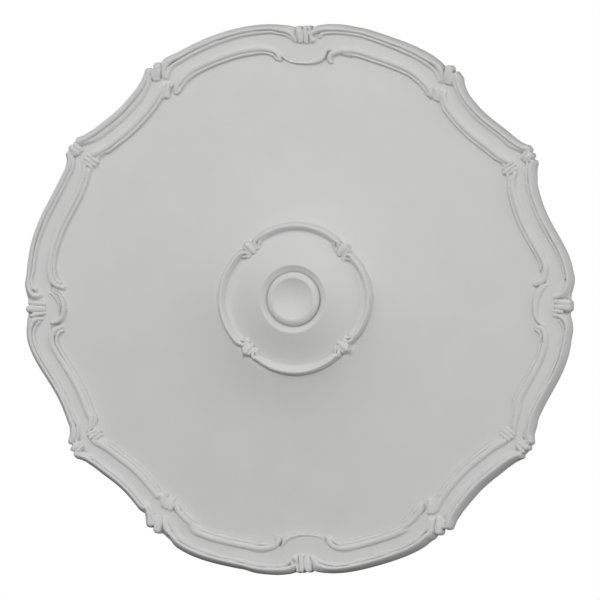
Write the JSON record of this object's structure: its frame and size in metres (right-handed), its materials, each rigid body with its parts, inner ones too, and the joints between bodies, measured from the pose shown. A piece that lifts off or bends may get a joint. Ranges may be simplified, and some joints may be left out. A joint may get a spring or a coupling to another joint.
{
  "type": "ceiling rose",
  "caption": "Large round scalloped ceiling rose with scrolled rim mouldings and shell knots, a smooth domed field, a small scalloped ring and a dished centre boss.",
  "frame": {"origin": "middle of the flat back, on the back's plane", "axes": "+Z up as the design stands in the picture, face looking along -Y, flat back at Y = 0 facing +Y. On a ceiling +Y points up."},
  "size_m": [1.0156, 0.07, 0.9887],
  "materials": {
    "white_paint": "matt white painted moulding"
  },
  "bodies": {
    "root": {"ceiling_rose": "white_paint"}
  },
  "joints": []
}
